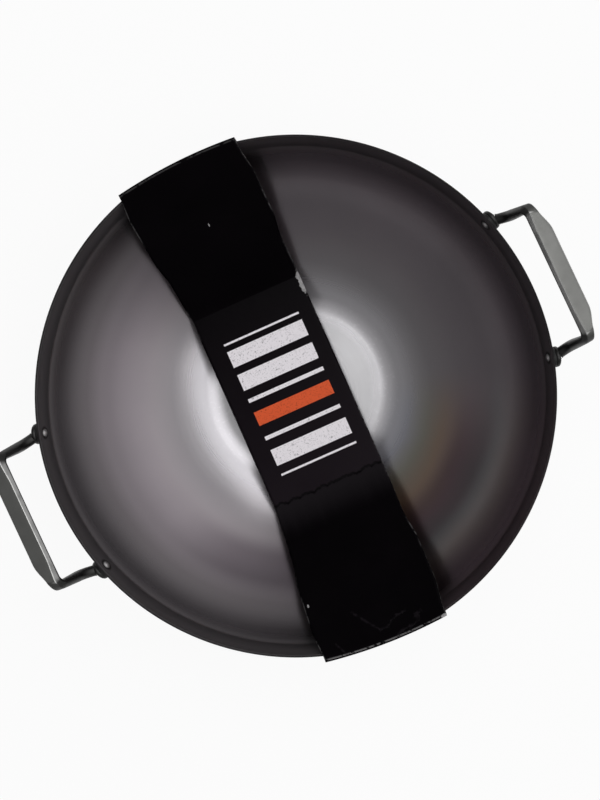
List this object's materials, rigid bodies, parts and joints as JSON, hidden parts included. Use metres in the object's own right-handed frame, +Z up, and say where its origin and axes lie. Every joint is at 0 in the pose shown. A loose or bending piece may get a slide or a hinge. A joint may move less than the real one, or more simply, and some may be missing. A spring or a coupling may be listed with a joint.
{
  "type": "wok",
  "caption": "Round carbon steel wok with a flat base and two riveted loop handles, with a folded card sleeve across it that lifts off.",
  "frame": {"origin": "middle of the flat base, on its underside", "axes": "+Z up the bowl's axis; +X through the middles of the two handles; the sleeve runs along Y"},
  "size_m": [0.4064, 0.3616, 0.13],
  "materials": {
    "bowl_steel": "fine spun blued carbon steel, satin, lightly oiled",
    "forged_steel": "blackened forged steel, satin, worn bright on its edges",
    "washer_steel": "black oxide steel, satin",
    "rivet_steel": "domed steel, satin, darkened",
    "sleeve_card": "board printed semi-gloss black on top, plain pale paper underneath and at its cut edges"
  },
  "bodies": {
    "wok": {"bowl": "bowl_steel", "handle_right": "forged_steel", "handle_left": "forged_steel", "seat_washer_right_rear": "washer_steel", "seat_washer_right_front": "washer_steel", "seat_washer_left_rear": "washer_steel", "seat_washer_left_front": "washer_steel", "rivet_right_rear": "rivet_steel", "rivet_right_front": "rivet_steel", "rivet_left_rear": "rivet_steel", "rivet_left_front": "rivet_steel"},
    "card_sleeve": {"sleeve": "sleeve_card"}
  },
  "joints": [
    {"name": "sleeve_lift", "type": "slide", "parent": "wok", "child": "card_sleeve", "axis": [0, 0, 1], "range_m": [0, 0.115]}
  ]
}
